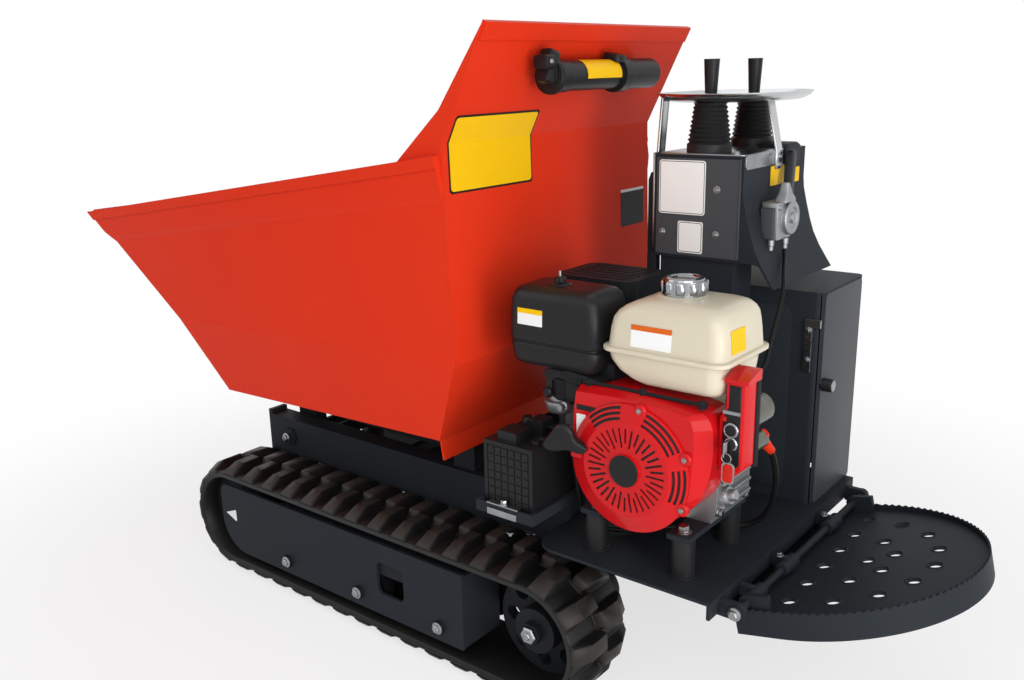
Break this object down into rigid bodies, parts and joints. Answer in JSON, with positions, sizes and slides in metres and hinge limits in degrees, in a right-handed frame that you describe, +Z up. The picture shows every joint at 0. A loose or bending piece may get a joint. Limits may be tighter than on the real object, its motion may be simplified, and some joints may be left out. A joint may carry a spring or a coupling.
{
  "type": "tracked site dumper",
  "caption": "Walk-behind site dumper on rubber tracks: a front tipping skip, a petrol engine and lever console at the rear, and a fold-up platform for the operator.",
  "frame": {"origin": "on the ground, midway between the front lip of the skip and the rear of the platform, on the middle plane", "axes": "+X forward, towards the skip; +Y left; +Z up"},
  "size_m": [2.1432, 0.75, 1.2858],
  "materials": {
    "charcoal_paint": "powder coat",
    "dark_steel": "satin paint",
    "cover_grey": "powder coat",
    "track_rubber": "matt",
    "rubber": "matt",
    "skip_paint": "gloss",
    "engine_red": "gloss",
    "ivory": "gloss",
    "alloy": "cast",
    "black_plastic": "satin",
    "zinc": "zinc plated",
    "chrome": "polished"
  },
  "bodies": {
    "chassis": {"chassis_rail_left": "charcoal_paint", "chassis_rail_right": "charcoal_paint", "chassis_crossmembers": "charcoal_paint", "pivot_pins": "zinc", "engine_deck": "charcoal_paint", "platform_hinge_rod": "zinc", "track_left": "track_rubber", "track_right": "track_rubber", "track_frames": "dark_steel", "track_covers": "charcoal_paint", "track_rollers": "dark_steel", "track_idlers": "dark_steel", "drive_sprockets": "dark_steel", "drive_motors": "dark_steel", "engine_mounts": "rubber", "engine_bed": "charcoal_paint", "engine_block": "alloy", "fan_shroud": "engine_red", "recoil_cover": "engine_red", "recoil_grip": "black_plastic", "fuel_tank": "ivory", "fuel_cap": "chrome", "air_cleaner": "black_plastic", "carburettor": "alloy", "muffler": "dark_steel", "key_box": "engine_red", "starter_motor": "alloy", "hydraulic_pump": "alloy", "battery": "black_plastic", "battery_tray": "charcoal_paint", "console_tower": "charcoal_paint", "console_cover": "cover_grey", "lever_boots": "rubber", "control_levers": "black_plastic", "lever_guard": "zinc", "throttle_unit": "alloy", "oil_tank": "charcoal_paint", "platform_catch": "zinc", "starter_cable": "rubber", "throttle_cable": "rubber"},
    "skip": {"skip_floor": "skip_paint", "skip_front": "skip_paint", "skip_side_left": "skip_paint", "skip_side_right": "skip_paint", "skip_headboard": "skip_paint", "skip_bearers": "dark_steel", "document_tube": "black_plastic"},
    "platform": {"platform": "charcoal_paint"},
    "ram_barrel": {"ram_barrel": "dark_steel"},
    "ram_rod": {"ram_rod": "chrome"}
  },
  "joints": [
    {"name": "skip_tip", "type": "hinge", "parent": "chassis", "child": "skip", "pos_m": [0.5396, 0, 0.314], "axis": [0, 1, 0], "range_deg": [0, 65]},
    {"name": "platform_fold", "type": "hinge", "parent": "chassis", "child": "platform", "pos_m": [-0.7484, 0, 0.312], "axis": [0, 1, 0], "range_deg": [0, 82]},
    {"name": "ram_swing", "type": "hinge", "parent": "chassis", "child": "ram_barrel", "pos_m": [-0.2624, 0, 0.25], "axis": [0, -1, 0], "range_deg": [0, 5.18]},
    {"name": "ram_extend", "type": "slide", "parent": "ram_barrel", "child": "ram_rod", "axis": [0.9737, 0, 0.2277], "range_m": [0, 0.205]}
  ],
  "couplings": [
    {"joint": "ram_swing", "follows": "skip_tip", "ratio": 0.078135},
    {"joint": "ram_extend", "follows": "skip_tip", "m_per_rad": 0.17984}
  ]
}
